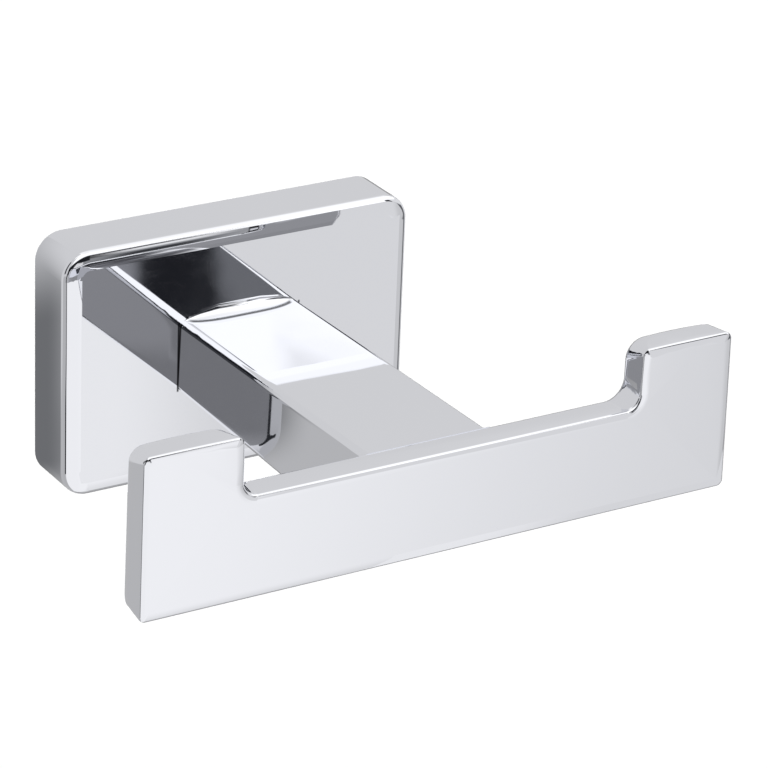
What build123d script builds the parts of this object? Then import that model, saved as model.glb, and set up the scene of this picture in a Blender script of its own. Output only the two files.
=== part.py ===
from build123d import *
import os
from math import cos, radians, sin, tan

# Double robe hook for a bathroom wall: a hollow cover over a wall bracket carries a flat arm,
# and the arm ends in a cross bar with two upturned ends. Sizes are in millimetres.
# The origin is at the centre of the cover's back rim. +X runs along the bar, +Y goes into the
# wall and +Z is up, so the hook stands out along -Y.

# Cross bar, whose outline is crisp at its front and softly rounded at its back. A pair of values
# has the front's first and the back's second.
casting_draft = 1.0  # degrees, by which the bar's ends and the arm's sides lean in towards the top
bar_length = 99.0  # at its foot
bar_thickness = 5.2
bar_bottom = 8.3  # below the arm's centre line
bar_middle_top = 7.7  # above the arm's centre line
prong_top = 17.1  # above the arm's centre line
prong_width = 16.3
prong_crown = (0.05, 0.3)
prong_outer_radius = (1.1, 2.6)
prong_inner_radius = (1.0, 3.4)
notch_radius = (2.2, 3.2)
bar_foot_radius = (1.0, 2.5)
bar_front_softening = 0.35
bar_back_softening = 0.9
softening_steps = 2
bar_roll_width = 1.1  # of the buffed rim round the bar's front face
bar_roll_depth = 0.05
least_radius = 0.1  # of a corner that the inset has used up

# Arm. A pair of values has the one at the cover first and the one at the bar second.
arm_length = 56.1  # from the cover's front to the bar's back
arm_width = 21.3  # at its foot
arm_top = (6.0, 6.95)  # above the arm's centre line
arm_bottom = (5.7, 7.1)  # below the arm's centre line
arm_edge_radius = 0.9
arm_flare = 0.5  # round the arm's tip
root_fillet_radius = 1.8  # at the arm's middle, where its top meets the cover
root_fillet_ends = 0.1
root_fillet_half_length = 9.6
root_fillet_steps = 4  # on each side of its middle

# Cover
cover_width = 60.5
cover_height = 40.7
cover_depth = 10.0
cover_wall = 2.0
cover_front_wall = 2.2
cover_corner_radius = 4.4
cover_front_radius = 1.0
cover_roll_radius = 10.5  # of the buffed face near its edges
cover_roll = 12.0  # degrees that the face has turned where its edge begins
cover_draft = 1.0  # degrees, on the inner walls

# Arm screws
screw_diameter = 4.0
screw_length = 8.0  # under the head
screw_spacing = 10.6
screw_head_diameter = 7.6
screw_head_height = 2.6
screw_head_chamfer = 0.8
screw_hole_clearance = 0.25  # around the shank in the cover
thread_clearance = 0.05  # around the shank in a tapped hole
tapped_hole_spare = 2.0  # beyond the screw's end
recess_width = 0.9
recess_span = 4.0
recess_depth = 1.4

# Wall bracket
sheet = 1.5
bend_radius = 1.0
flange_flare = 25.0  # degrees, away from square
bracket_side_gap = 5.25
bracket_top_gap = 2.0
bracket_bottom_gap = 4.0
bracket_front_gap = 1.6
slot_width = 5.0
slot_length = 9.0
slot_end_wall = 2.5

# Catch lip behind the cover's top wall
catch_width = 30.0
catch_thickness = 2.2
catch_setback = 0.4  # in from the rim
catch_clearance = 0.1

# Grub screw
grub_diameter = 4.0
grub_length = 6.0
grub_from_wall = 3.0
grub_tip_clearance = 0.1
grub_socket = 2.0  # across the flats
grub_socket_depth = 2.2
grub_pad_width = 9.0
grub_pad_height = 2.4

same_place = 0.001  # a corner is found within this distance

# Planes and heights that the pieces share
cover_front = -cover_depth
cavity_front = cover_front + cover_front_wall
bar_back = cover_front - arm_length
bar_front = bar_back - bar_thickness
inner_top = cover_height / 2 - cover_wall
inner_bottom = -inner_top
flange_top = inner_top - bracket_top_gap
flange_bottom = inner_bottom + bracket_bottom_gap
flange_slope = tan(radians(flange_flare))
flange_reach = -cavity_front - bracket_front_gap - sheet * sin(radians(flange_flare))
bracket_length = cover_width - 2 * (cover_wall + bracket_side_gap)
bracket_middle = (flange_top + flange_bottom) / 2
slot_spacing = bracket_length - slot_length - 2 * slot_end_wall
screw_places = {"left": -screw_spacing / 2, "right": screw_spacing / 2}


def facing_out(y):
    """A plane parallel to the wall at depth y, with its normal away from the wall."""
    return Plane((0, y, 0), x_dir=(1, 0, 0), z_dir=(0, -1, 0))


def flange_outside(y, top):
    """Height of a flange's outer face at depth y."""
    tip = flange_top if top else flange_bottom
    inwards = -1 if top else 1
    return tip + inwards * (flange_reach + y) * flange_slope


def bar_section(depth, inset):
    """The bar's outline at a depth behind its front, drawn in by the inset."""
    share = depth / bar_thickness

    def between(pair):
        return pair[0] + (pair[1] - pair[0]) * share

    half = bar_length / 2 - inset
    inner = bar_length / 2 - prong_width + inset
    low = inset - bar_bottom
    middle = bar_middle_top - inset
    top = prong_top - inset
    rim = top - between(prong_crown)
    shoulder = half - (rim - low) * tan(radians(casting_draft))
    corners = [
        (-half, low),
        (half, low),
        (shoulder, rim),
        (inner, rim),
        (inner, middle),
        (-inner, middle),
        (-inner, rim),
        (-shoulder, rim),
    ]
    edges = []
    for start, stop in zip(corners, corners[1:] + corners[:1]):
        if start[1] == rim and stop[1] == rim:
            edges.append(ThreePointArc(start, ((start[0] + stop[0]) / 2, top), stop))
        else:
            edges.append(Line(start, stop))
    outline = make_face(edges)
    for radius, place in (
        (max(between(bar_foot_radius) - inset, least_radius), (half, low)),
        (max(between(prong_outer_radius) - inset, least_radius), (shoulder, rim)),
        (max(between(prong_inner_radius) - inset, least_radius), (inner, rim)),
        (between(notch_radius) + inset, (inner, middle)),
    ):
        spot = Vector(*place)
        pair = outline.vertices().filter_by(lambda v: (Vector(abs(v.X), v.Y) - spot).length < same_place)
        outline = fillet(pair, radius)
    return (facing_out(bar_front + depth) * outline).face()


def cross_bar():
    """Narrow flats round the bar's front and back edges stand for the buffed roundings."""
    rings = [(0, bar_roll_width + bar_front_softening)]
    for i in range(softening_steps + 1):
        turn = radians(90) * i / softening_steps
        depth = bar_roll_depth + bar_front_softening * (1 - cos(turn))
        rings.append((depth, bar_front_softening * (1 - sin(turn))))
    for i in range(softening_steps, -1, -1):
        turn = radians(90) * i / softening_steps
        depth = bar_thickness - bar_back_softening * (1 - cos(turn))
        rings.append((depth, bar_back_softening * (1 - sin(turn))))
    return loft([bar_section(depth, inset) for depth, inset in rings], ruled=True)


def root_rise(x, radius):
    """Section of the small concave fillet where the arm's top meets the cover, at x along the arm's width."""
    top = arm_top[0]
    out = cover_front - radius
    middle = radius * (1 - cos(radians(45)))
    section = [
        ThreePointArc((out, top), (cover_front - middle, top + middle), (cover_front, top + radius)),
        Line((cover_front, top + radius), (cover_front, 0)),
        Line((cover_front, 0), (out, 0)),
        Line((out, 0), (out, top)),
    ]
    return Plane.YZ.offset(x) * make_face(section).face()


def arm_section(y, top, bottom, flare):
    """The arm's outline at depth y, made larger all round by the flare."""
    shape = Trapezoid(arm_width + 2 * flare, top + bottom + 2 * flare, 90 - casting_draft)
    outline = fillet(shape.vertices(), arm_edge_radius)
    return (facing_out(y) * Pos(0, (top - bottom) / 2) * outline).face()


def arm():
    """Deeper towards the bar, with a small flare where it runs into it."""
    sections = [
        arm_section(cover_front, arm_top[0], arm_bottom[0], 0),
        arm_section(bar_back + arm_flare, arm_top[1], arm_bottom[1], 0),
        arm_section(bar_back, arm_top[1], arm_bottom[1], arm_flare),
    ]
    return loft(sections, ruled=True)


def root_fillet():
    """A lens of a fillet, which fades towards the arm's sides."""
    half = root_fillet_half_length
    sections = []
    for i in range(-root_fillet_steps, root_fillet_steps + 1):
        share = sin(radians(90) * i / root_fillet_steps)
        radius = root_fillet_ends + (root_fillet_radius - root_fillet_ends) * (1 - share**4)
        sections.append(root_rise(share * half, radius))
    return loft(sections, ruled=True)


def hook_casting():
    hook = cross_bar() + arm() + root_fillet()
    hole_depth = screw_length - cover_front_wall + tapped_hole_spare
    for x in screw_places.values():
        hole = Circle(screw_diameter / 2 + thread_clearance)
        hook -= extrude(facing_out(cover_front) * Pos(x, 0) * hole, amount=hole_depth)
    return hook


def catch_lip():
    """A ledge that hooks behind the bracket's top flange, with its lower face along the flange."""
    gap = catch_clearance / cos(radians(flange_flare))
    rear = -catch_setback
    fore = rear - catch_thickness
    root = cover_height / 2 - cover_wall / 2
    profile = Polyline(
        (rear, root),
        (fore, root),
        (fore, flange_outside(fore, True) + gap),
        (rear, flange_outside(rear, True) + gap),
        close=True,
    )
    return extrude(Plane.YZ * make_face(profile), amount=catch_width / 2, both=True)


def grub_pad():
    """The bottom wall's thickening, which gives the grub screw enough thread."""
    depth = -cavity_front
    height = grub_pad_height + cover_wall / 2
    pad = Box(grub_pad_width, depth, height, align=(Align.CENTER, Align.MAX, Align.MIN))
    return Pos(0, 0, inner_bottom - cover_wall / 2) * pad


def cover_edge_waste():
    """What the buffed face and the rounded edge take off the cover's front, as a ring round it."""
    roll = radians(cover_roll)
    side = cover_height / 2
    edge_z = side - cover_front_radius * (1 - sin(roll))
    edge_y = cover_front + cover_roll_radius * (1 - cos(roll))
    face_z = edge_z - cover_roll_radius * sin(roll)
    centre_y = edge_y + cover_front_radius * cos(roll)
    centre_z = side - cover_front_radius
    on_roll = (
        cover_front + cover_roll_radius * (1 - cos(roll / 2)),
        face_z + cover_roll_radius * sin(roll / 2),
    )
    turn = (roll + radians(90)) / 2
    on_edge = (centre_y - cover_front_radius * cos(turn), centre_z + cover_front_radius * sin(turn))
    past = cover_front_radius
    profile = [
        ThreePointArc((cover_front, face_z), on_roll, (edge_y, edge_z)),
        ThreePointArc((edge_y, edge_z), on_edge, (centre_y, side)),
        Line((centre_y, side), (centre_y, side + past)),
        Line((centre_y, side + past), (cover_front - past, side + past)),
        Line((cover_front - past, side + past), (cover_front - past, face_z)),
        Line((cover_front - past, face_z), (cover_front, face_z)),
    ]
    outline = RectangleRounded(cover_width, cover_height, cover_corner_radius)
    path = (facing_out(cover_front) * outline).face().outer_wire()
    return sweep(Plane.YZ * make_face(profile), path)


def backplate_cover():
    outer = RectangleRounded(cover_width, cover_height, cover_corner_radius)
    cover = extrude(facing_out(0) * outer, amount=cover_depth) - cover_edge_waste()
    inner = RectangleRounded(
        cover_width - 2 * cover_wall,
        cover_height - 2 * cover_wall,
        cover_corner_radius - cover_wall,
    )
    cavity = extrude(facing_out(0) * inner, amount=-cavity_front, taper=cover_draft)
    cover = cover - cavity + catch_lip() + grub_pad()
    hole = Circle(screw_diameter / 2 + screw_hole_clearance)
    for x in screw_places.values():
        cover -= extrude(facing_out(cavity_front) * Pos(x, 0) * hole, amount=cover_front_wall)
    from_top = (Align.CENTER, Align.CENTER, Align.MAX)
    grub_hole = Cylinder(grub_diameter / 2 + thread_clearance, cover_height / 2, align=from_top)
    return cover - Pos(0, -grub_from_wall, 0) * grub_hole


def arm_screw(x):
    """A pan-head machine screw with a cross recess, driven from inside the cover."""
    shank = extrude(facing_out(cavity_front) * Circle(screw_diameter / 2), amount=screw_length)
    head = extrude(facing_out(cavity_front) * Circle(screw_head_diameter / 2), amount=-screw_head_height)
    rim = head.edges().sort_by(Axis.Y)[-1]
    head = chamfer(rim, screw_head_chamfer)
    screw = shank + head
    top = facing_out(cavity_front + screw_head_height)
    for size in ((recess_span, recess_width), (recess_width, recess_span)):
        screw -= extrude(top * Rectangle(*size), amount=recess_depth)
    return Pos(x, 0, 0) * screw


def wall_bracket():
    """Sheet folded twice, so that both flanges flare outwards from the wall."""
    lean = radians(flange_flare)
    inner_shift = sheet * (tan(lean) - 1 / cos(lean))
    tip_in = sheet * cos(lean)
    tip_out = sheet * sin(lean)
    top_wall = flange_outside(0, True)
    bottom_wall = flange_outside(0, False)
    corners = [
        (-flange_reach, flange_top),
        (0, top_wall),
        (0, bottom_wall),
        (-flange_reach, flange_bottom),
        (-flange_reach - tip_out, flange_bottom + tip_in),
        (-sheet, bottom_wall - inner_shift),
        (-sheet, top_wall + inner_shift),
        (-flange_reach - tip_out, flange_top - tip_in),
    ]
    outside = bend_radius + sheet
    radii = [0, outside, outside, 0, 0, bend_radius, bend_radius, 0]
    profile = make_face(FilletPolyline(*corners, radius=radii, close=True))
    bracket = extrude(Plane.YZ * profile, amount=bracket_length / 2, both=True)
    slot = SlotOverall(slot_length, slot_width)
    for x in (-slot_spacing / 2, slot_spacing / 2):
        bracket -= extrude(facing_out(0) * Pos(x, bracket_middle) * slot, amount=sheet)
    return bracket


def grub_screw():
    """A socket set screw with a cone point, which stands against the bracket's bottom flange."""
    radius = grub_diameter / 2
    tip = flange_outside(-grub_from_wall, False) - grub_tip_clearance
    base = tip - grub_length
    outline = Polyline((0, base), (radius, base), (radius, tip - radius), (0, tip), close=True)
    screw = revolve(Plane.XZ * make_face(outline), Axis.Z)
    socket = RegularPolygon(grub_socket / 2, 6, major_radius=False)
    screw -= extrude(Plane.XY.offset(base) * socket, amount=grub_socket_depth)
    return Pos(0, -grub_from_wall, 0) * screw


pieces = {
    "hook_casting": hook_casting(),
    "backplate_cover": backplate_cover(),
    "arm_screw_left": arm_screw(screw_places["left"]),
    "arm_screw_right": arm_screw(screw_places["right"]),
    "wall_bracket": wall_bracket(),
    "grub_screw": grub_screw(),
}

os.makedirs("parts", exist_ok=True)
for name, piece in pieces.items():
    export_step(piece, f"parts/{name}.step")
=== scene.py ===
"""Double robe hook: finishes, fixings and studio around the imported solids."""

import math

import bmesh
import bpy
from bpy.props import FloatProperty, FloatVectorProperty, PointerProperty, StringProperty
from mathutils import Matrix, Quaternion, Vector


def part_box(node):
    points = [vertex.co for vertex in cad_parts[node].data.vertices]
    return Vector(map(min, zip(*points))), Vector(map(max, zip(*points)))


bl_info = {
    "name": "Double robe hook",
    "version": (1, 0, 0),
    "blender": (4, 5, 0),
    "location": "View3D > Sidebar > Robe hook",
    "description": "Dresses the robe hook's solids and sets up its studio",
    "category": "Object",
}

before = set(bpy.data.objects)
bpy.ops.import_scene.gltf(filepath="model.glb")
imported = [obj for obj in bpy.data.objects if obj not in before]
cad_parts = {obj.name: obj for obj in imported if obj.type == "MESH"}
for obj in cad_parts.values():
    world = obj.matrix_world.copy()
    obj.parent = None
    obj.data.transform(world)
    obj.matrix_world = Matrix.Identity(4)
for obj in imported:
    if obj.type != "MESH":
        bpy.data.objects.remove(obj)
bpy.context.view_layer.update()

MM = 0.001
CHROMED = ("hook_casting", "backplate_cover")
SCREWS = ("arm_screw_left", "arm_screw_right", "grub_screw")
COVER_LEFT, COVER_FACE, COVER_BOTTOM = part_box("backplate_cover")[0]


# Colours and nodes


def linear(hex_colour):
    """An sRGB hex colour as linear RGBA."""
    channels = [int(hex_colour[i : i + 2], 16) / 255 for i in (1, 3, 5)]
    return [c / 12.92 if c <= 0.04045 else ((c + 0.055) / 1.055) ** 2.4 for c in channels] + [1.0]


def add_node(tree, kind, inputs=None, **settings):
    """Adds a node with its settings. Each input is a number, a colour, a socket, or a node, which gives its
    first output in use."""
    node = tree.nodes.new(kind)
    for name, value in settings.items():
        setattr(node, name, value)
    for name, value in (inputs or {}).items():
        if isinstance(value, bpy.types.Node):
            value = next(socket for socket in value.outputs if socket.enabled)
        if isinstance(value, bpy.types.NodeSocket):
            tree.links.new(value, node.inputs[name])
        else:
            node.inputs[name].default_value = value
    return node


def object_axes(tree):
    """The place on a piece, as its x, y and z."""
    place = add_node(tree, "ShaderNodeTexCoord").outputs["Object"]
    axes = add_node(tree, "ShaderNodeSeparateXYZ", {"Vector": place}).outputs
    return axes["X"], axes["Y"], axes["Z"]


def apart(tree, a, b):
    """How far apart two values are."""
    difference = add_node(tree, "ShaderNodeMath", {0: a, 1: b}, operation="SUBTRACT")
    return add_node(tree, "ShaderNodeMath", {0: difference}, operation="ABSOLUTE")


def fade_in(tree, *limits):
    """1 where every value has reached its full place, and 0 where one of them is still before its edge.
    Each limit is a value, its edge and its full place."""
    steps = []
    for value, edge, full in limits:
        inputs = {"Value": value, "From Min": edge, "From Max": full}
        steps.append(add_node(tree, "ShaderNodeMapRange", inputs, interpolation_type="SMOOTHSTEP"))
    cover, *others = steps
    for step in others:
        cover = add_node(tree, "ShaderNodeMath", {0: cover, 1: step}, operation="MULTIPLY")
    return cover


def paint_over(tree, colour, *coats):
    """Lays coats over a colour. Each coat is its cover, from 0 to 1, and its own colour."""
    for cover, coat in coats:
        inputs = {"Factor": cover, "A": colour, "B": coat}
        colour = add_node(tree, "ShaderNodeMix", inputs, data_type="RGBA")
    return colour


def object_noise(tree, size, detail, stretch=(1, 1, 1)):
    """Noise whose lumps are about this size, in metres, and longer along an axis whose stretch is small."""
    place = add_node(tree, "ShaderNodeTexCoord").outputs["Object"]
    place = add_node(tree, "ShaderNodeMapping", {"Vector": place, "Scale": stretch})
    return add_node(tree, "ShaderNodeTexNoise", {"Vector": place, "Scale": 1 / size, "Detail": detail})


def uneven(tree, spread, low=0.0, high=1.0, **noise):
    """A value that wanders from low to high, as an object noise goes from one end of the spread to the
    other. The last arguments are the noise's."""
    limits = {"From Min": spread[0], "From Max": spread[1], "To Min": low, "To Max": high}
    return add_node(tree, "ShaderNodeMapRange", {"Value": object_noise(tree, **noise), **limits})


def new_material(name):
    """A material with an empty tree, and the tree."""
    material = bpy.data.materials.new(name)
    material.use_nodes = True
    material.node_tree.nodes.clear()
    return material, material.node_tree


def add_metal(tree, colour, roughness, height, depth, painted=None):
    """Ends a metal's tree with its colour, its roughness and the height of its surface, which goes up to
    depth. Where the colour changes over the surface, painted takes its place."""
    bump = add_node(tree, "ShaderNodeBump", {"Height": height, "Strength": 1.0, "Distance": depth})
    surface = {"Base Color": colour, "Metallic": 1.0, "Roughness": roughness, "Normal": bump}
    shader = add_node(tree, "ShaderNodeBsdfPrincipled", surface)
    if painted:
        tree.links.new(painted.outputs["Result"], shader.inputs["Base Color"])
    add_node(tree, "ShaderNodeOutputMaterial", {"Surface": shader})


def add_unlit(tree, colour):
    """Ends the tree of a sheet that a mirror shows in the colours that are written here."""
    shader = add_node(tree, "ShaderNodeEmission", {"Color": colour})
    add_node(tree, "ShaderNodeOutputMaterial", {"Surface": shader})


# Finishes

# The arm's foot on the cover's face
ARM_HALF_WIDTH = 10.63 * MM
FILLET_HALF_LENGTH = 9.6 * MM
FILLET_FOOT = -11.8 * MM  # in y, at the arm's middle
FILLET_RUN_OUT = 1.7 * MM  # towards the cover, from the middle to the ends
FILLET_POWER = 4  # of the run-out, most of which is near the ends
# Where the painted shade line round it fades in, each as its edge and its full place
SIDE_WIDTH = (1, 0.3)  # in widths of the line
TOP_WIDTH = (2.4, 0.6)
SIDE_HEIGHTS = ((5.9 * MM, 5.6 * MM), (-5.9 * MM, -5.6 * MM))
TOP_HEIGHTS = ((5.9 * MM, 6 * MM), (7 * MM, 6.6 * MM))
TOP_RUN_OUT = (0.85, 0.6)  # as a share of the fillet's run-out

# Facets that meet at less than this angle belong to one rounded edge, and corners this close are one
ROLL_ANGLE = math.radians(50)
MERGE_DISTANCE = 0.001 * MM


def painted_corner_shade(tree, width):
    """Where shade is painted: 1 in the tight corner where the arm's foot meets the cover's face, on the
    arm's sides and along the foot of the fillet on its top, and 0 elsewhere."""
    x, y, z = object_axes(tree)
    out = add_node(tree, "ShaderNodeMath", {0: x}, operation="ABSOLUTE")
    distances = {0: apart(tree, out, ARM_HALF_WIDTH), 1: apart(tree, y, COVER_FACE)}
    corner = add_node(tree, "ShaderNodeMath", distances, operation="MAXIMUM")
    side_width = [width * part for part in SIDE_WIDTH]
    side_heights = [(z, *height) for height in SIDE_HEIGHTS]
    sides = fade_in(tree, (corner, *side_width), *side_heights)
    # The fillet on top is widest in the middle and runs out to nothing at the arm's edges
    share = add_node(tree, "ShaderNodeMath", {0: out, 1: FILLET_HALF_LENGTH}, operation="DIVIDE")
    share = add_node(tree, "ShaderNodeMath", {0: share, 1: FILLET_POWER}, operation="POWER")
    foot = add_node(tree, "ShaderNodeMath", {0: share, 1: FILLET_RUN_OUT}, operation="MULTIPLY")
    foot = add_node(tree, "ShaderNodeMath", {0: foot, 1: FILLET_FOOT}, operation="ADD")
    top_width = [width * part for part in TOP_WIDTH]
    top_heights = [(z, *height) for height in TOP_HEIGHTS]
    top = fade_in(tree, (apart(tree, y, foot), *top_width), *top_heights, (share, *TOP_RUN_OUT))
    return add_node(tree, "ShaderNodeMath", {0: sides, 1: top}, operation="MAXIMUM")


def polished_chrome(props):
    """Decorative chrome plate over buffed zinc: a cool mirror, with the long, faint waves that buffing
    leaves. In the tight corner round the arm's foot, a dark line of painted shade is laid into its colour."""
    material, tree = new_material("polished_chrome_plate")
    colour, blur, length = linear(props.chrome_colour), props.chrome_roughness, props.wave_length
    haze = uneven(tree, spread=(0.3, 0.7), low=blur * 0.7, high=blur * 1.6, size=length * 0.6, detail=4)
    waves = object_noise(tree, size=length, detail=1)
    # A dark line of painted shade in the corner round the arm's foot and along the fillet's foot
    corner = (painted_corner_shade(tree, props.corner_shade_width), linear(props.corner_shade_colour))
    add_metal(tree, colour, haze, waves, props.waviness, painted=paint_over(tree, colour, corner))
    return material


def zinc_plate(props):
    """Bright zinc plate on screw steel: a cool grey with a cloudy bloom."""
    material, tree = new_material("zinc_plated_screw_steel")
    colour = linear(props.zinc_colour)
    blur = uneven(tree, spread=(0.3, 0.7), low=0.22, high=0.42, size=1.5 * MM, detail=5)
    bloom = (uneven(tree, spread=(0.4, 0.65), size=2.5 * MM, detail=4), linear(props.zinc_bloom))
    grains = object_noise(tree, size=0.4 * MM, detail=3)
    add_metal(tree, colour, blur, grains, depth=0.002 * MM, painted=paint_over(tree, colour, bloom))
    return material


def mill_steel(props):
    """Pressed stainless sheet with its mill finish: a satin grey, with fine lines along the bracket."""
    material, tree = new_material("pressed_stainless_sheet")
    lines = {"size": 0.25 * MM, "detail": 3, "stretch": (0.02, 1, 1)}
    blur = uneven(tree, spread=(0.25, 0.75), low=0.24, high=0.46, **lines)
    grain = object_noise(tree, **lines)
    add_metal(tree, linear(props.steel_colour), blur, grain, depth=0.004 * MM)
    return material


def dress(node_name, material):
    """Gives a solid one material in all its slots."""
    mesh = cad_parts[node_name].data
    mesh.materials.clear()
    mesh.materials.append(material)


def smooth_rolls(obj):
    """Shades the narrow facets of a solid's rounded edges as smooth rolls, and keeps its sharp corners."""
    tree = bpy.data.node_groups.new("smooth_rolls", "GeometryNodeTree")
    for side in ("INPUT", "OUTPUT"):
        tree.interface.new_socket("Geometry", in_out=side, socket_type="NodeSocketGeometry")
    shading = "GeometryNodeSetShadeSmooth"
    mesh = add_node(tree, "NodeGroupInput")
    mesh = add_node(tree, "GeometryNodeMergeByDistance", {"Geometry": mesh, "Distance": MERGE_DISTANCE})
    mesh = add_node(tree, shading, {"Geometry": mesh, "Shade Smooth": True}, domain="FACE")
    angle = add_node(tree, "GeometryNodeInputMeshEdgeAngle").outputs["Unsigned Angle"]
    gentle = add_node(tree, "FunctionNodeCompare", {"A": angle, "B": ROLL_ANGLE}, operation="LESS_THAN")
    mesh = add_node(tree, shading, {"Geometry": mesh, "Shade Smooth": gentle}, domain="EDGE")
    add_node(tree, "NodeGroupOutput", {"Geometry": mesh})
    obj.modifiers.new("smooth_rolls", "NODES").node_group = tree
    weights = obj.modifiers.new("weighted_normals", "WEIGHTED_NORMAL")
    weights.keep_sharp = True


class FinishSettings(bpy.types.PropertyGroup):
    """Colours and surfaces of the hook's finishes"""

    chrome_colour: StringProperty(
        name="Chrome", description="Colour of the chrome plate", default="#F1F2F6"
    )
    chrome_roughness: FloatProperty(
        name="Chrome roughness",
        description="Blur of the chrome's reflections",
        default=0.02,
        min=0,
        max=1,
        subtype="FACTOR",
    )
    # Colour of the dark line of painted shade in the corner round the arm's foot
    corner_shade_colour: StringProperty(
        name="Corner", description="Plate in the corner round the arm's foot", default="#56575A"
    )
    corner_shade_width: FloatProperty(
        name="Corner width",
        description="Width of the dark line in that corner",
        default=0.25 * MM,
        precision=5,
        unit="LENGTH",
    )
    wave_length: FloatProperty(
        name="Wave length",
        description="Length of the waves in the buffed faces",
        default=9 * MM,
        unit="LENGTH",
    )
    waviness: FloatProperty(
        name="Waviness",
        description="Height of the waves in the buffed faces",
        default=0.003 * MM,
        precision=6,
        unit="LENGTH",
    )
    zinc_colour: StringProperty(name="Zinc", description="Colour of the screws", default="#C9CBCC")
    zinc_bloom: StringProperty(
        name="Zinc bloom", description="Duller clouds on the zinc", default="#A9ACAE"
    )
    steel_colour: StringProperty(
        name="Steel", description="Colour of the wall bracket", default="#C4C4C1"
    )


class StudioSettings(bpy.types.PropertyGroup):
    """The camera, and the sizes and tones of the studio"""

    azimuth: FloatProperty(
        name="Azimuth",
        description="Camera's direction round the hook",
        default=math.radians(-31.92),
        subtype="ANGLE",
    )
    elevation: FloatProperty(
        name="Elevation",
        description="Camera's height angle",
        default=math.radians(24.304),
        subtype="ANGLE",
    )
    roll: FloatProperty(
        name="Roll",
        description="Camera's turn about its own axis",
        default=math.radians(2.336),
        subtype="ANGLE",
    )
    aim: FloatVectorProperty(
        name="Aim",
        description="Where the lens points, right of the origin and above it in the picture",
        default=(27.79 * MM, -9.68 * MM),
        size=2,
        precision=5,
        unit="LENGTH",
    )
    distance: FloatProperty(
        name="Distance", description="Camera to the origin's depth", default=613.568 * MM, unit="LENGTH"
    )
    lens: FloatProperty(
        name="Lens", description="Focal length in millimetres", default=182.45, unit="CAMERA"
    )
    floor_drop: FloatProperty(
        name="Floor", description="Floor's depth below the origin", default=150 * MM, unit="LENGTH"
    )
    stage_size: FloatProperty(
        name="Stage", description="Half the floor's and the wall's size", default=3.0, unit="LENGTH"
    )
    wall_gap: FloatProperty(
        name="Wall gap",
        description="Gap that keeps the wall's sheet off the cover's rim",
        default=0.3 * MM,
        precision=5,
        unit="LENGTH",
    )
    floor_colour: StringProperty(
        name="Floor", description="Colour of the floor's paper", default="#F4F4F4"
    )
    floor_glow: FloatProperty(
        name="Floor glow", description="What brings the floor to white", default=0.16
    )
    wall_high: StringProperty(name="Wall, upper", description="Wall above the arm", default="#D6D6D7")
    wall_low: StringProperty(name="Wall, lower", description="Wall below the arm", default="#BBBBBC")
    # Painted shade on the wall below the cover
    wall_shade_below_cover: StringProperty(name="Wall, right", description="Wall below the cover", default="#969697")
    wall_far: StringProperty(name="Wall, far", description="Dark end of the wall", default="#434346")
    # The cover's shadow, painted on the wall
    wall_shadow: StringProperty(
        name="Wall, shaded", description="Wall in the cover's shade", default="#707173"
    )
    edge_left: StringProperty(
        name="Edge, left", description="Table's edge on its left", default="#F3F3F4"
    )
    edge_right: StringProperty(
        name="Edge, right", description="Table's edge on its right", default="#DFDFE0"
    )


# Studio

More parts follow.
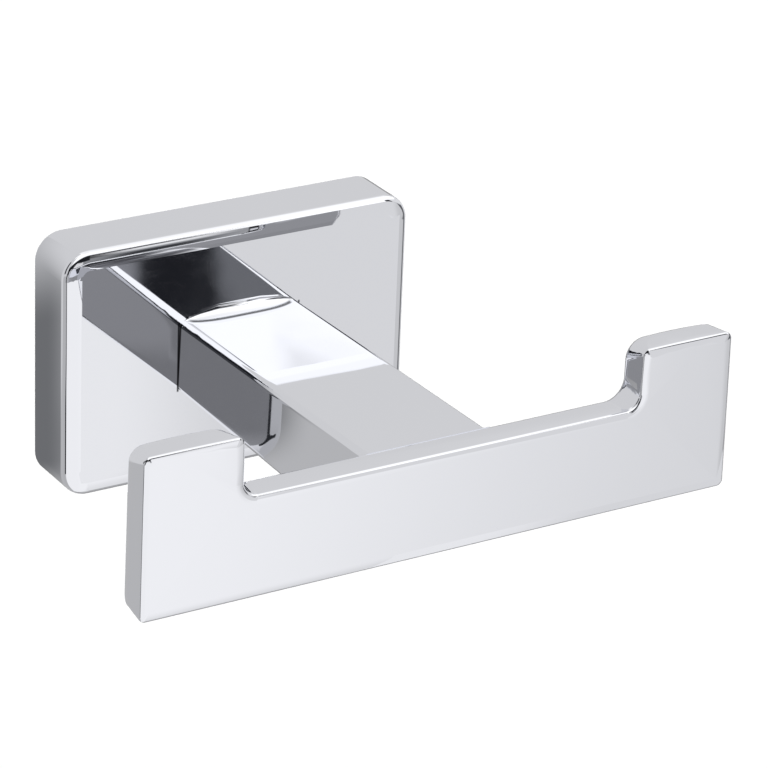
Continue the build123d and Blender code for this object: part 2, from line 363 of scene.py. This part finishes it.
# What the chrome mirrors in front of the wall. Each softbox, flag or stretch of table has its limits in
# azimuth, from +Y towards +X, its limits in elevation and the width of its soft edge, all in degrees, and
# its tone. Where two overlap, the lower one in this list is in front.
SURROUNDINGS = {
    "glow from the right": (48, 200, 40, 200, 44, "#FFFFFF"),
    "gap beside the wall": (60, 66, 4, 49, 2, "#78787B"),
    "table": (-200, 400, -100, -3, 4, "#B8B8B9"),
    "shade low behind the hook": (-40, 47, -100, -2, 6, "#9C9C9D"),
    "table on the right": (47, 137, -30, 20, 6, "#E6E6E7"),
    "table in front": (136, 214, -100, -3, 5, "#DFDFE0"),
    "lit table in front": (146.8, 205, -100, -12, 11, "#FBFBFC"),
    "middle of the table": (159.5, 208, -100, -10, 5, "#F9F9FA"),
    "far side of the table": (138, 151.8, -20.4, 0, 1.2, "#DFDFE0"),
    "far corner of the table": (95, 138, -45, 4, 10, "#CDCDCE"),
    "stand on the right": (99.5, 127.5, -60, 2, 3, "#606164"),
    "softbox on the right": (64, 151.6, 24, 120, 10, "#FFFFFF"),
    "softbox in front": (146, 152.4, 3, 60, 1.5, "#FFFFFF"),
    "softbox overhead": (-200, 400, 62, 120, 12, "#FFFFFF"),
    "light over the camera": (151, 213, 25.5, 100, 3, "#FFFFFF"),
    "far end of the room": (152, 162, -11, -3.5, 2, "#8E8F92"),
    "lamp at the far end": (153, 162, -5.7, -3.5, 1, "#EDEDEE"),
    "dark doorway": (153.1, 154.5, -11, -6.7, 0.8, "#3A3B3E"),
    "dark room": (152.75, 224, 9.5, 21.5, 0.3, "#1F2024"),
    "dark room over the softbox": (151.6, 153, 18.2, 21.5, 0.8, "#1F2024"),
    "dark room, low": (154.6, 224, -6, 12, 1, "#1F2024"),
    "dark corner of the room": (188, 203, -20.5, 2, 1.5, "#46474A"),
    "dark side under the camera": (209.5, 226, -21.5, 1, 1, "#3A3B3E"),
    "shade under the camera": (204, 211.3, -24.3, -21, 0.6, "#7B7B7D"),
    "lighter end of the shade": (204, 209.4, -22.95, -21, 0.4, "#8E8E90"),
    "dark table edge": (209, 230, -27.5, -24.4, 1, "#2A2B2E"),
    "dark line beside it": (211.6, 217.6, -27.5, -22.4, 0.5, "#2A2B2E"),
    "gap between the softboxes": (148.9, 152.8, 23.6, 25.6, 0.5, "#707174"),
    "middle of the gap": (150.3, 151.7, 23.6, 25.6, 0.35, "#1F2024"),
    "dim corner of the softbox": (148.6, 150.15, 21.9, 23.6, 0.5, "#FFFFFF"),
    "strut of the softbox": (138, 147.3, -3, 20.3, 0.8, "#2F3034"),
    "dark end on the left": (-88, -58, -32, 40, 4, "#1F2024"),
    "dark far end": (250, 275, 4, 47, 4, "#4A4A4D"),
    "haze in the dark room": (151.75, 156, 13, 26, 0.4, "#9C9CA0"),
}
# These are brighter than white paper
BRIGHTNESS = {
    "glow from the right": 1.05,
    "softbox on the right": 1.2,
    "softbox in front": 1.25,
    "light over the camera": 1.2,
}
# These are broken up into clouds, about 2 degrees wide
CLOUDY = ("haze in the dark room",)
CLOUDS_PER_DEGREE = 0.5
CLOUD_EDGE = (0.42, 0.7)
OPEN_ROOM = "#D6D6D7"
FIRST_AZIMUTH = -90
FULL_TURN = 360

# The wall's painted tones, painted shade and painted shadow, each with the place where it starts and the
# place where it is full
UPPER_WALL = (-16 * MM, -4 * MM)  # in z
# Painted shade on the wall below the cover
SHADE_BELOW_COVER = (-30 * MM, -10 * MM)  # in x
FAR_WALL = (-120 * MM, -180 * MM)  # in x
FAR_WALL_HEIGHT = (0, 40 * MM)
# The cover's painted shadow on the wall, left of the cover
SHADOW_SIDE = (-12 * MM, -2 * MM)  # in x, from the cover's left side
SHADOW_HEIGHTS = ((25 * MM, 5 * MM), (-28 * MM, -18 * MM))
# The wall's sheet starts this far inside the cover's left side, and this far below its lower side
WALL_INSET = 2 * MM
WALL_DROP = 1.5 * MM

# The table's edge: its place in front of the wall, its ends, its heights and where its tone changes
EDGE_PLACE = -100 * MM
EDGE_ENDS = (10 * MM, 125 * MM)
EDGE_HEIGHTS = (-85 * MM, -24.5 * MM)
EDGE_CHANGE = (24 * MM, 52 * MM)

# Only mirrored rays see these sheets
MIRRORED_ONLY = {"visible_camera": False, "visible_diffuse": False, "visible_shadow": False}


def inside_box(tree, place, low, high, softness):
    """1 inside a box in the place's x and y, with a soft edge, and 0 outside it."""
    middle = [(a + b) / 2 for a, b in zip(low, high)]
    half = [(b - a) / 2 for a, b in zip(low, high)]
    for operation, second in (("SUBTRACT", middle), ("ABSOLUTE", (0, 0)), ("SUBTRACT", half)):
        place = add_node(tree, "ShaderNodeVectorMath", {0: place, 1: (*second, 0)}, operation=operation)
    axes = add_node(tree, "ShaderNodeSeparateXYZ", {"Vector": place}).outputs
    distance = add_node(tree, "ShaderNodeMath", {0: axes["X"], 1: axes["Y"]}, operation="MAXIMUM")
    return fade_in(tree, (distance, softness / 2, -softness / 2))


def look_direction(tree):
    """The direction in the world, as azimuth and elevation in degrees."""
    direction = add_node(tree, "ShaderNodeTexCoord").outputs["Generated"]
    axes = add_node(tree, "ShaderNodeSeparateXYZ", {"Vector": direction}).outputs
    azimuth = add_node(tree, "ShaderNodeMath", {0: axes["X"], 1: axes["Y"]}, operation="ARCTAN2")
    azimuth = add_node(tree, "ShaderNodeMath", {0: azimuth}, operation="DEGREES")
    wrap = (("SUBTRACT", FIRST_AZIMUTH), ("FLOORED_MODULO", FULL_TURN), ("ADD", FIRST_AZIMUTH))
    for operation, second in wrap:
        azimuth = add_node(tree, "ShaderNodeMath", {0: azimuth, 1: second}, operation=operation)
    elevation = add_node(tree, "ShaderNodeMath", {0: axes["Z"]}, operation="ARCSINE")
    elevation = add_node(tree, "ShaderNodeMath", {0: elevation}, operation="DEGREES")
    return add_node(tree, "ShaderNodeCombineXYZ", {"X": azimuth, "Y": elevation})


def studio_world():
    """White to the camera and to matt surfaces. Chrome sees a studio with softboxes, flags and a table."""
    world = bpy.data.worlds.new("studio")
    bpy.context.scene.world = world
    world.use_nodes = True
    world.cycles.sampling_method = "NONE"
    tree = world.node_tree
    tree.nodes.clear()
    place = look_direction(tree)
    noise = {"Vector": place, "Scale": CLOUDS_PER_DEGREE, "Detail": 8}
    clouds = fade_in(tree, (add_node(tree, "ShaderNodeTexNoise", noise), *CLOUD_EDGE))
    coats = []
    for name, (left, right, bottom, top, softness, tone) in SURROUNDINGS.items():
        brightness = BRIGHTNESS.get(name, 1.0)
        cover = inside_box(tree, place, (left, bottom), (right, top), softness)
        if name in CLOUDY:
            cover = add_node(tree, "ShaderNodeMath", {0: cover, 1: clouds}, operation="MULTIPLY")
        coats.append((cover, [c * brightness for c in linear(tone)[:3]] + [1.0]))
    room = paint_over(tree, linear(OPEN_ROOM), *coats)
    paths = add_node(tree, "ShaderNodeLightPath").outputs
    rays = {0: paths["Is Glossy Ray"], 1: paths["Is Transmission Ray"]}
    mirrored = add_node(tree, "ShaderNodeMath", rays, operation="MAXIMUM")
    seen = paint_over(tree, linear("#FFFFFF"), (mirrored, room))
    background = add_node(tree, "ShaderNodeBackground", {"Color": seen})
    add_node(tree, "ShaderNodeOutputWorld", {"Surface": background})


def wall_paint(props):
    """The pale wall as the chrome mirrors it, an unlit sheet with its light and shade painted into its
    colour: duller low down, painted shade below the cover, the cover's painted soft shadow on its left, and
    a dark far end."""
    material, tree = new_material("unlit_wall_with_painted_shade")
    x, _, z = object_axes(tree)
    shadow_start, shadow_full = (COVER_LEFT + side for side in SHADOW_SIDE)
    heights = [(z, *height) for height in SHADOW_HEIGHTS]
    shadow = fade_in(tree, (x, shadow_start, shadow_full), (x, 0, COVER_LEFT), *heights)
    colour = paint_over(
        tree,
        linear(props.wall_low),
        (fade_in(tree, (z, *UPPER_WALL)), linear(props.wall_high)),
        (fade_in(tree, (x, *SHADE_BELOW_COVER)), linear(props.wall_shade_below_cover)),
        (shadow, linear(props.wall_shadow)),
        (fade_in(tree, (x, *FAR_WALL), (z, *FAR_WALL_HEIGHT)), linear(props.wall_far)),
    )
    add_unlit(tree, colour)
    return material


def edge_paint(props):
    """The pale edge of the table, duller towards its right."""
    material, tree = new_material("pale_table_edge")
    x, _, _ = object_axes(tree)
    right = (fade_in(tree, (x, *EDGE_CHANGE)), linear(props.edge_right))
    add_unlit(tree, paint_over(tree, linear(props.edge_left), right))
    return material


def floor_paper(props):
    """White paper, which takes the hook's soft shadow. To the camera its own glow lifts it to full white."""
    material, tree = new_material("white_paper")
    colour = linear(props.floor_colour)
    paper = add_node(tree, "ShaderNodeBsdfDiffuse", {"Color": colour, "Roughness": 1.0})
    camera_ray = add_node(tree, "ShaderNodeLightPath").outputs["Is Camera Ray"]
    strength = add_node(tree, "ShaderNodeMath", {0: camera_ray, 1: props.floor_glow}, operation="MULTIPLY")
    glow = add_node(tree, "ShaderNodeEmission", {"Strength": strength})
    both = add_node(tree, "ShaderNodeAddShader", {0: paper, 1: glow})
    add_node(tree, "ShaderNodeOutputMaterial", {"Surface": both})
    return material


def stage_sheet(name, corners, material, **visibility):
    """A sheet of the studio, which isn't part of the hook."""
    mesh = bpy.data.meshes.new(name)
    sheet = bmesh.new()
    sheet.faces.new([sheet.verts.new(c) for c in corners])
    sheet.to_mesh(mesh)
    sheet.free()
    mesh.materials.append(material)
    obj = bpy.data.objects.new(name, mesh)
    bpy.context.scene.collection.objects.link(obj)
    for flag, value in visibility.items():
        setattr(obj, flag, value)


def stage_floor(props):
    """The floor under the hook, which the chrome doesn't mirror."""
    size, down = props.stage_size, -props.floor_drop
    corners = [(-size, -size, down), (size, -size, down), (size, size, down), (-size, size, down)]
    stage_sheet("floor", corners, floor_paper(props), visible_glossy=False)


def stage_wall(props):
    """The wall left of the cover and below it, where its painted shade changes from place to place."""
    size, left, low = props.stage_size, COVER_LEFT + WALL_INSET, COVER_BOTTOM - WALL_DROP
    outline = ((-size, -size), (size, -size), (size, low), (left, low), (left, size), (-size, size))
    corners = [(x, props.wall_gap, z) for x, z in outline]
    stage_sheet("wall", corners, wall_paint(props), **MIRRORED_ONLY)


def stage_table_edge(props):
    """A low edge in front of the hook on the right, which only the cover mirrors."""
    (left, right), (low, high) = EDGE_ENDS, EDGE_HEIGHTS
    outline = ((left, low), (right, low), (right, high), (left, high))
    corners = [(x, EDGE_PLACE, z) for x, z in outline]
    stage_sheet("table_edge", corners, edge_paint(props), **MIRRORED_ONLY)


def studio_camera(props):
    """A long lens at the photograph's angle, with the origin left of the picture's middle and above it."""
    camera = bpy.data.cameras.new("camera")
    camera.lens = props.lens
    camera.sensor_width = 36
    obj = bpy.data.objects.new("camera", camera)
    bpy.context.scene.collection.objects.link(obj)
    a, e = props.azimuth, props.elevation
    back = Vector((math.sin(a) * math.cos(e), -math.cos(a) * math.cos(e), math.sin(e)))
    turn = back.to_track_quat("Z", "Y") @ Quaternion((0, 0, 1), props.roll)
    obj.rotation_mode = "QUATERNION"
    obj.rotation_quaternion = turn
    obj.location = turn @ Vector((*props.aim, 0)) + back * props.distance
    bpy.context.scene.camera = obj


class HOOK_OT_chrome(bpy.types.Operator):
    """Plates the hook casting and the cover"""

    bl_idname = "robe_hook.chrome"
    bl_label = "Chrome the castings"

    def execute(self, context):
        material = polished_chrome(context.scene.robe_hook_finish)
        for name in CHROMED:
            dress(name, material)
        smooth_rolls(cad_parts["hook_casting"])
        return {"FINISHED"}


class HOOK_OT_fixings(bpy.types.Operator):
    """Gives the wall bracket and the screws their finish"""

    bl_idname = "robe_hook.fixings"
    bl_label = "Finish the fixings"

    def execute(self, context):
        props = context.scene.robe_hook_finish
        screw_steel = zinc_plate(props)
        for name in SCREWS:
            dress(name, screw_steel)
        dress("wall_bracket", mill_steel(props))
        return {"FINISHED"}


class HOOK_OT_studio(bpy.types.Operator):
    """Sets up the light, the floor, the wall, the table's edge and the camera"""

    bl_idname = "robe_hook.studio"
    bl_label = "Set up the studio"

    def execute(self, context):
        props = context.scene.robe_hook_studio
        context.scene.view_settings.view_transform = "Standard"
        studio_world()
        stage_floor(props)
        stage_wall(props)
        stage_table_edge(props)
        studio_camera(props)
        return {"FINISHED"}


class HOOK_PT_panel(bpy.types.Panel):
    """Shows buttons that finish the hook and set up its studio"""

    bl_label = "Robe hook"
    bl_idname = "HOOK_PT_panel"
    bl_space_type = "VIEW_3D"
    bl_region_type = "UI"
    bl_category = "Robe hook"

    def draw(self, context):
        for operator in OPERATORS:
            self.layout.operator(operator.bl_idname)


OPERATORS = (HOOK_OT_chrome, HOOK_OT_fixings, HOOK_OT_studio)
CLASSES = (FinishSettings, StudioSettings, *OPERATORS, HOOK_PT_panel)


def register():
    """Adds the classes and the scene's two groups of settings."""
    for cls in CLASSES:
        bpy.utils.register_class(cls)
    bpy.types.Scene.robe_hook_finish = PointerProperty(type=FinishSettings)
    bpy.types.Scene.robe_hook_studio = PointerProperty(type=StudioSettings)


def unregister():
    """Takes them away again."""
    del bpy.types.Scene.robe_hook_studio
    del bpy.types.Scene.robe_hook_finish
    for cls in reversed(CLASSES):
        bpy.utils.unregister_class(cls)


def main():
    """Dresses the hook and sets up its studio."""
    register()
    bpy.ops.robe_hook.chrome()
    bpy.ops.robe_hook.fixings()
    bpy.ops.robe_hook.studio()


if __name__ == "__main__":
    main()
